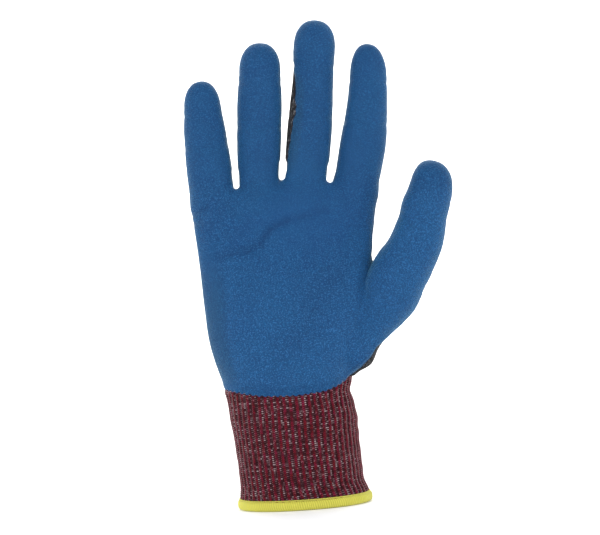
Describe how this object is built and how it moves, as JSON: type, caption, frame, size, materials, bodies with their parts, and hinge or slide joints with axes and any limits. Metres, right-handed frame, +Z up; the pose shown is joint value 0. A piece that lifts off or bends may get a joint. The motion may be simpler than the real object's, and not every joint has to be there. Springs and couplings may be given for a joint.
{
  "type": "cut resistant glove",
  "caption": "Right-hand cut resistant work glove: dark seamless knit liner, blue crinkle latex palm, ribbed knit wrist with an overlocked hem, hinged at wrist and knuckles",
  "frame": {"origin": "Middle of the flat lower face of the hem, on which the glove stands", "axes": "+Z up the hand to the fingertips, -Y the palm side, +X the thumb side"},
  "size_m": [0.1355, 0.0502, 0.2503],
  "materials": {
    "latex_coating": "matte crinkled latex, blue",
    "liner_knit": "fine dark grey melange knit of cut resistant yarn",
    "stretch_knit": "coated knit that stretches and wrinkles over a knuckle",
    "cuff_knit": "rib knit, crimson ribs between black and grey speckled ribs",
    "elastic_yarn": "covered elastic yarn, off-white",
    "hem_thread": "yellow-green overlock thread"
  },
  "bodies": {
    "cuff": {"cuff_rib_knit": "cuff_knit", "cuff_elastic_yarns": "elastic_yarn", "hem_overlock_band": "hem_thread", "hem_needle_thread": "hem_thread", "wrist_knit_sleeve": "stretch_knit"},
    "hand": {"palm_knit": "liner_knit", "palm_coating": "latex_coating", "little_base_knuckle_sleeve": "stretch_knit", "ring_base_knuckle_sleeve": "stretch_knit", "middle_base_knuckle_sleeve": "stretch_knit", "index_base_knuckle_sleeve": "stretch_knit", "thumb_base_knuckle_sleeve": "stretch_knit"},
    "little_lower": {"little_lower_knit": "liner_knit", "little_lower_coating": "latex_coating", "little_centre_knuckle_sleeve": "stretch_knit"},
    "little_centre": {"little_centre_knit": "liner_knit", "little_centre_coating": "latex_coating", "little_tip_knuckle_sleeve": "stretch_knit"},
    "little_tip": {"little_tip_knit": "liner_knit", "little_tip_coating": "latex_coating"},
    "ring_lower": {"ring_lower_knit": "liner_knit", "ring_lower_coating": "latex_coating", "ring_centre_knuckle_sleeve": "stretch_knit"},
    "ring_centre": {"ring_centre_knit": "liner_knit", "ring_centre_coating": "latex_coating", "ring_tip_knuckle_sleeve": "stretch_knit"},
    "ring_tip": {"ring_tip_knit": "liner_knit", "ring_tip_coating": "latex_coating"},
    "middle_lower": {"middle_lower_knit": "liner_knit", "middle_lower_coating": "latex_coating", "middle_centre_knuckle_sleeve": "stretch_knit"},
    "middle_centre": {"middle_centre_knit": "liner_knit", "middle_centre_coating": "latex_coating", "middle_tip_knuckle_sleeve": "stretch_knit"},
    "middle_tip": {"middle_tip_knit": "liner_knit", "middle_tip_coating": "latex_coating"},
    "index_lower": {"index_lower_knit": "liner_knit", "index_lower_coating": "latex_coating", "index_centre_knuckle_sleeve": "stretch_knit"},
    "index_centre": {"index_centre_knit": "liner_knit", "index_centre_coating": "latex_coating", "index_tip_knuckle_sleeve": "stretch_knit"},
    "index_tip": {"index_tip_knit": "liner_knit", "index_tip_coating": "latex_coating"},
    "thumb_base": {"thumb_base_knit": "liner_knit", "thumb_base_coating": "latex_coating", "thumb_tip_knuckle_sleeve": "stretch_knit"},
    "thumb_tip": {"thumb_tip_knit": "liner_knit", "thumb_tip_coating": "latex_coating"}
  },
  "joints": [
    {"name": "wrist_flex", "type": "hinge", "parent": "cuff", "child": "hand", "pos_m": [-0.0027, 0, 0.06415], "axis": [1, 0, 0], "range_deg": [-20, 25], "deforming": ["wrist_knit_sleeve"]},
    {"name": "little_base_knuckle", "type": "hinge", "parent": "hand", "child": "little_lower", "pos_m": [-0.03725, 0, 0.1723], "axis": [0.9993, 0, 0.0366], "range_deg": [-10, 60], "deforming": ["little_base_knuckle_sleeve"]},
    {"name": "little_centre_knuckle", "type": "hinge", "parent": "little_lower", "child": "little_centre", "pos_m": [-0.03786, 0, 0.18898], "axis": [0.9993, 0, 0.0366], "range_deg": [0, 70], "deforming": ["little_centre_knuckle_sleeve"]},
    {"name": "little_tip_knuckle", "type": "hinge", "parent": "little_centre", "child": "little_tip", "pos_m": [-0.03847, 0, 0.20567], "axis": [0.9993, 0, 0.0366], "range_deg": [0, 42], "deforming": ["little_tip_knuckle_sleeve"]},
    {"name": "ring_base_knuckle", "type": "hinge", "parent": "hand", "child": "ring_lower", "pos_m": [-0.01231, 0, 0.17268], "axis": [0.9966, 0, -0.0819], "range_deg": [-10, 60], "deforming": ["ring_base_knuckle_sleeve"]},
    {"name": "ring_centre_knuckle", "type": "hinge", "parent": "ring_lower", "child": "ring_centre", "pos_m": [-0.01032, 0, 0.19689], "axis": [0.9966, 0, -0.0819], "range_deg": [0, 70], "deforming": ["ring_centre_knuckle_sleeve"]},
    {"name": "ring_tip_knuckle", "type": "hinge", "parent": "ring_centre", "child": "ring_tip", "pos_m": [-0.00843, 0, 0.21982], "axis": [0.9966, 0, -0.0819], "range_deg": [0, 42], "deforming": ["ring_tip_knuckle_sleeve"]},
    {"name": "middle_base_knuckle", "type": "hinge", "parent": "hand", "child": "middle_lower", "pos_m": [0.01232, 0, 0.17283], "axis": [0.9905, 0, -0.1374], "range_deg": [-10, 60], "deforming": ["middle_base_knuckle_sleeve"]},
    {"name": "middle_centre_knuckle", "type": "hinge", "parent": "middle_lower", "child": "middle_centre", "pos_m": [0.01618, 0, 0.20066], "axis": [0.9905, 0, -0.1374], "range_deg": [0, 70], "deforming": ["middle_centre_knuckle_sleeve"]},
    {"name": "middle_tip_knuckle", "type": "hinge", "parent": "middle_centre", "child": "middle_tip", "pos_m": [0.01975, 0, 0.22642], "axis": [0.9905, 0, -0.1374], "range_deg": [0, 42], "deforming": ["middle_tip_knuckle_sleeve"]},
    {"name": "index_base_knuckle", "type": "hinge", "parent": "hand", "child": "index_lower", "pos_m": [0.03869, 0, 0.17262], "axis": [0.9885, 0, -0.1513], "range_deg": [-10, 60], "deforming": ["index_base_knuckle_sleeve"]},
    {"name": "index_centre_knuckle", "type": "hinge", "parent": "index_lower", "child": "index_centre", "pos_m": [0.04221, 0, 0.19565], "axis": [0.9885, 0, -0.1513], "range_deg": [0, 70], "deforming": ["index_centre_knuckle_sleeve"]},
    {"name": "index_tip_knuckle", "type": "hinge", "parent": "index_centre", "child": "index_tip", "pos_m": [0.04547, 0, 0.2169], "axis": [0.9885, 0, -0.1513], "range_deg": [0, 42], "deforming": ["index_tip_knuckle_sleeve"]},
    {"name": "thumb_base_knuckle", "type": "hinge", "parent": "hand", "child": "thumb_base", "pos_m": [0.0585, -0.006, 0.119], "axis": [0.8774, -0.2351, -0.4183], "range_deg": [-8, 26], "deforming": ["thumb_base_knuckle_sleeve"]},
    {"name": "thumb_tip_knuckle", "type": "hinge", "parent": "thumb_base", "child": "thumb_tip", "pos_m": [0.072, -0.009, 0.149], "axis": [0.9131, -0.3323, -0.2362], "range_deg": [0, 45], "deforming": ["thumb_tip_knuckle_sleeve"]}
  ],
  "couplings": [
    {"joint": "little_tip_knuckle", "follows": "little_centre_knuckle", "ratio": 0.6},
    {"joint": "ring_tip_knuckle", "follows": "ring_centre_knuckle", "ratio": 0.6},
    {"joint": "middle_tip_knuckle", "follows": "middle_centre_knuckle", "ratio": 0.6},
    {"joint": "index_tip_knuckle", "follows": "index_centre_knuckle", "ratio": 0.6}
  ]
}
